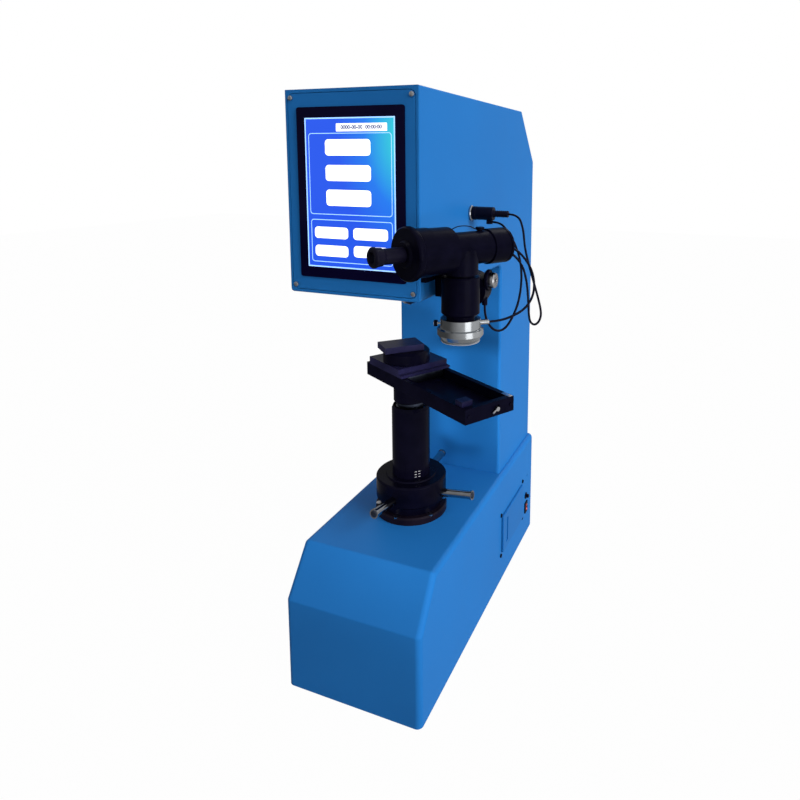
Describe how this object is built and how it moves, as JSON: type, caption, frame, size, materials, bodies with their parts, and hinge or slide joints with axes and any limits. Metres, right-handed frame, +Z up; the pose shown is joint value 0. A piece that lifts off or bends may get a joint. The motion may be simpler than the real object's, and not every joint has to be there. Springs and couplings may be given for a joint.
{
  "type": "bench hardness tester",
  "caption": "Bench hardness tester: C-shaped body with touch screen, indenter over an elevating screw table with cross slide, side-mounted measuring microscope.",
  "frame": {"origin": "centre of the base's underside", "axes": "+Z up, along the elevating screw; +X to the operator's right; +Y to the back"},
  "size_m": [0.3181, 0.5812, 0.816],
  "materials": {
    "body_paint": "satin",
    "black_anodised": "satin",
    "black_steel": "satin",
    "steel": "satin",
    "chrome": "polished",
    "aluminium": "satin",
    "bronze": "satin",
    "black_plastic": "matte",
    "red_plastic": "gloss",
    "glass": "gloss",
    "rubber": "matte",
    "board": "satin"
  },
  "bodies": {
    "root": {"base_housing": "body_paint", "base_plate": "steel", "machine_screws": "steel", "column_bolts": "steel", "column_housing": "body_paint", "rear_cover": "body_paint", "side_cover": "body_paint", "cover_screws": "steel", "front_panel": "body_paint", "touch_glass": "glass", "lcd_module": "steel", "control_board": "board", "power_supply": "aluminium", "guide_flange": "black_steel", "guide_key": "steel", "thrust_bearing": "steel", "loading_frame": "aluminium", "guide_posts": "steel", "spindle_guide": "bronze", "screw_bearing": "steel", "loading_motor": "black_anodised", "drive_belt": "rubber", "microscope_bracket": "black_anodised", "plug_socket": "chrome", "cable_plug": "black_plastic", "bracket_lead": "rubber", "switch_body": "black_plastic", "fuse_holder": "black_plastic"},
    "handwheel": {"handwheel": "black_steel", "handwheel_spokes": "chrome", "nut_sleeve": "black_steel", "elevating_nut": "bronze"},
    "lift": {"elevating_screw": "black_steel"},
    "table": {"table_boss": "black_steel", "rail_body": "black_anodised", "rail_end_plates": "black_anodised", "end_plate_screws": "black_steel", "end_stop": "black_anodised"},
    "lock": {"lock_lever": "chrome"},
    "carriage": {"carriage": "black_anodised", "anvil_pedestal": "black_steel"},
    "anvil": {"anvil_plate": "black_steel"},
    "spindle": {"spindle": "steel", "indenter_holder": "steel", "indenter_ball": "steel", "load_cell": "aluminium", "crosshead": "aluminium"},
    "drive": {"drive_screw": "steel", "driven_pulley": "aluminium"},
    "motor_drive": {"motor_pulley": "aluminium"},
    "microscope": {"microscope_body": "black_anodised", "illuminator": "black_anodised", "objective": "black_anodised", "ring_light": "aluminium", "lamp_lead": "rubber", "ring_lead": "rubber"},
    "measuring_ring": {"measuring_ring": "black_anodised"},
    "eyepiece": {"eyepiece": "black_plastic"},
    "focus_knobs": {"focus_knobs": "black_anodised"},
    "rocker": {"switch_rocker": "red_plastic"}
  },
  "joints": [
    {"name": "handwheel_turn", "type": "hinge", "parent": "root", "child": "handwheel", "pos_m": [0, -0.0757, 0.225], "axis": [0, 0, 1], "range_deg": [-450, 3000]},
    {"name": "stage_lift", "type": "slide", "parent": "root", "child": "lift", "axis": [0, 0, 1], "range_m": [-0.0076, 0.0501]},
    {"name": "table_swivel", "type": "hinge", "parent": "lift", "child": "table", "pos_m": [0, -0.0757, 0.38], "axis": [0, 0, 1], "range_deg": [-12, 12]},
    {"name": "carriage_slide", "type": "slide", "parent": "table", "child": "carriage", "axis": [0.866, -0.5, 0], "range_m": [0, 0.121]},
    {"name": "anvil_turn", "type": "hinge", "parent": "carriage", "child": "anvil", "pos_m": [-0.0035, -0.08176, 0.45], "axis": [0, 0, 1], "continuous": true},
    {"name": "lock_lever_turn", "type": "hinge", "parent": "table", "child": "lock", "pos_m": [0.16485, -0.15817, 0.41], "axis": [0.866, -0.5, 0], "range_deg": [-10, 10]},
    {"name": "drive_screw_turn", "type": "hinge", "parent": "root", "child": "drive", "pos_m": [0, -0.0757, 0.774], "axis": [0, 0, 1], "range_deg": [-433, 1]},
    {"name": "spindle_feed", "type": "slide", "parent": "root", "child": "spindle", "axis": [0, 0, -1], "range_m": [-0.0001, 0.0061]},
    {"name": "motor_turn", "type": "hinge", "parent": "root", "child": "motor_drive", "pos_m": [0, 0.0093, 0.774], "axis": [0, 0, 1], "range_deg": [-1305, 6]},
    {"name": "focus_slide", "type": "slide", "parent": "root", "child": "microscope", "axis": [0, 0, 1], "range_m": [-0.0022, 0.0035]},
    {"name": "focus_knob_turn", "type": "hinge", "parent": "root", "child": "focus_knobs", "pos_m": [0.165, -0.178, 0.583], "axis": [1, 0, 0], "range_deg": [-130, 130]},
    {"name": "measuring_ring_turn", "type": "hinge", "parent": "microscope", "child": "measuring_ring", "pos_m": [0.0995, -0.28155, 0.6252], "axis": [-0.5, -0.866, 0], "continuous": true},
    {"name": "eyepiece_turn", "type": "hinge", "parent": "microscope", "child": "eyepiece", "pos_m": [0.0885, -0.3006, 0.6252], "axis": [-0.5, -0.866, 0], "continuous": true},
    {"name": "switch_rock", "type": "hinge", "parent": "root", "child": "rocker", "pos_m": [0.102, 0.212, 0.058], "axis": [0, 1, 0], "range_deg": [-5, 5]}
  ],
  "couplings": [
    {"joint": "stage_lift", "follows": "handwheel_turn", "m_per_rad": 0.00095493},
    {"joint": "spindle_feed", "follows": "drive_screw_turn", "m_per_rad": -0.00079577},
    {"joint": "motor_turn", "follows": "drive_screw_turn", "ratio": 3},
    {"joint": "focus_knob_turn", "follows": "focus_slide", "rad_per_m": 600}
  ]
}
